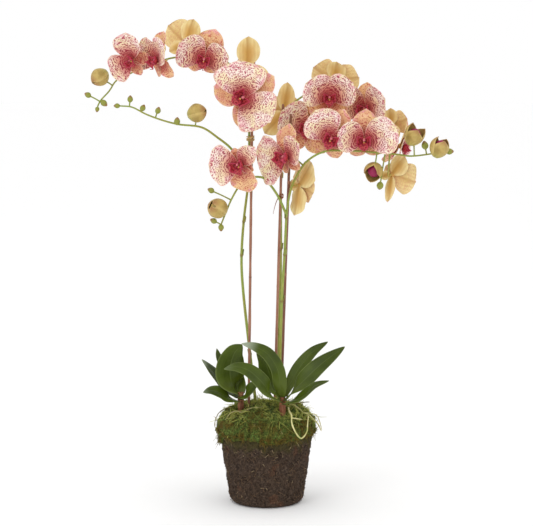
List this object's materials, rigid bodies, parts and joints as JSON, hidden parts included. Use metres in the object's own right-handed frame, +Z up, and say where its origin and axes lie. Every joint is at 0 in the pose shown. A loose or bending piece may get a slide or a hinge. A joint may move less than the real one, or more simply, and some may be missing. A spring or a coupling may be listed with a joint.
{
  "type": "potted orchid",
  "caption": "Arching orchid with speckled blooms on staked spikes, strap leaves and aerial roots in a moss-topped tapered soil plug.",
  "frame": {"origin": "centre of the soil plug's flat underside", "axes": "+Z up along the plug and the stems, -Y to the front that most blooms face, +X to the viewer's right"},
  "size_m": [0.5856, 0.2283, 0.7897],
  "materials": {
    "soil": "rough fibrous peat",
    "moss": "stringy dried moss",
    "spike": "satin",
    "stake": "dull",
    "crown": "satin",
    "tie": "dull",
    "bud": "satin cloth",
    "leaf": "semi-gloss",
    "root": "satin",
    "petal": "speckled satin cloth"
  },
  "bodies": {
    "root": {"branch_flower": "petal", "front_branch_bud": "bud", "left_branch_bud": "bud", "left_crown": "crown", "left_flower_1": "petal", "left_flower_2": "petal", "left_flower_3": "petal", "left_flower_4": "petal", "left_flower_5": "petal", "left_flower_6": "petal", "left_leaf_1": "leaf", "left_leaf_2": "leaf", "left_leaf_3": "leaf", "left_leaf_4": "leaf", "left_leaf_5": "leaf", "left_leaf_6": "leaf", "left_root_long": "root", "left_root_loop": "root", "left_spike": "spike", "left_stake": "stake", "left_tie": "tie", "left_tip_bud": "bud", "middle_flower_1": "petal", "middle_flower_2": "petal", "middle_flower_3": "petal", "middle_flower_4": "petal", "middle_flower_5": "petal", "middle_flower_6": "petal", "middle_flower_7": "petal", "middle_spike": "spike", "middle_stake": "stake", "middle_tie": "tie", "moss_pad": "moss", "right_crown": "crown", "right_flower_1": "petal", "right_flower_2": "petal", "right_flower_3": "petal", "right_flower_4": "petal", "right_flower_5": "petal", "right_leaf_1": "leaf", "right_leaf_2": "leaf", "right_leaf_3": "leaf", "right_leaf_4": "leaf", "right_leaf_5": "leaf", "right_leaf_6": "leaf", "right_leaf_7": "leaf", "right_low_bud": "bud", "right_opening_bud": "bud", "right_root_loop": "root", "right_root_outer": "root", "right_root_twig": "root", "right_spike": "spike", "right_stake": "stake", "right_tip_bud": "bud", "soil_plug": "soil"}
  },
  "joints": []
}
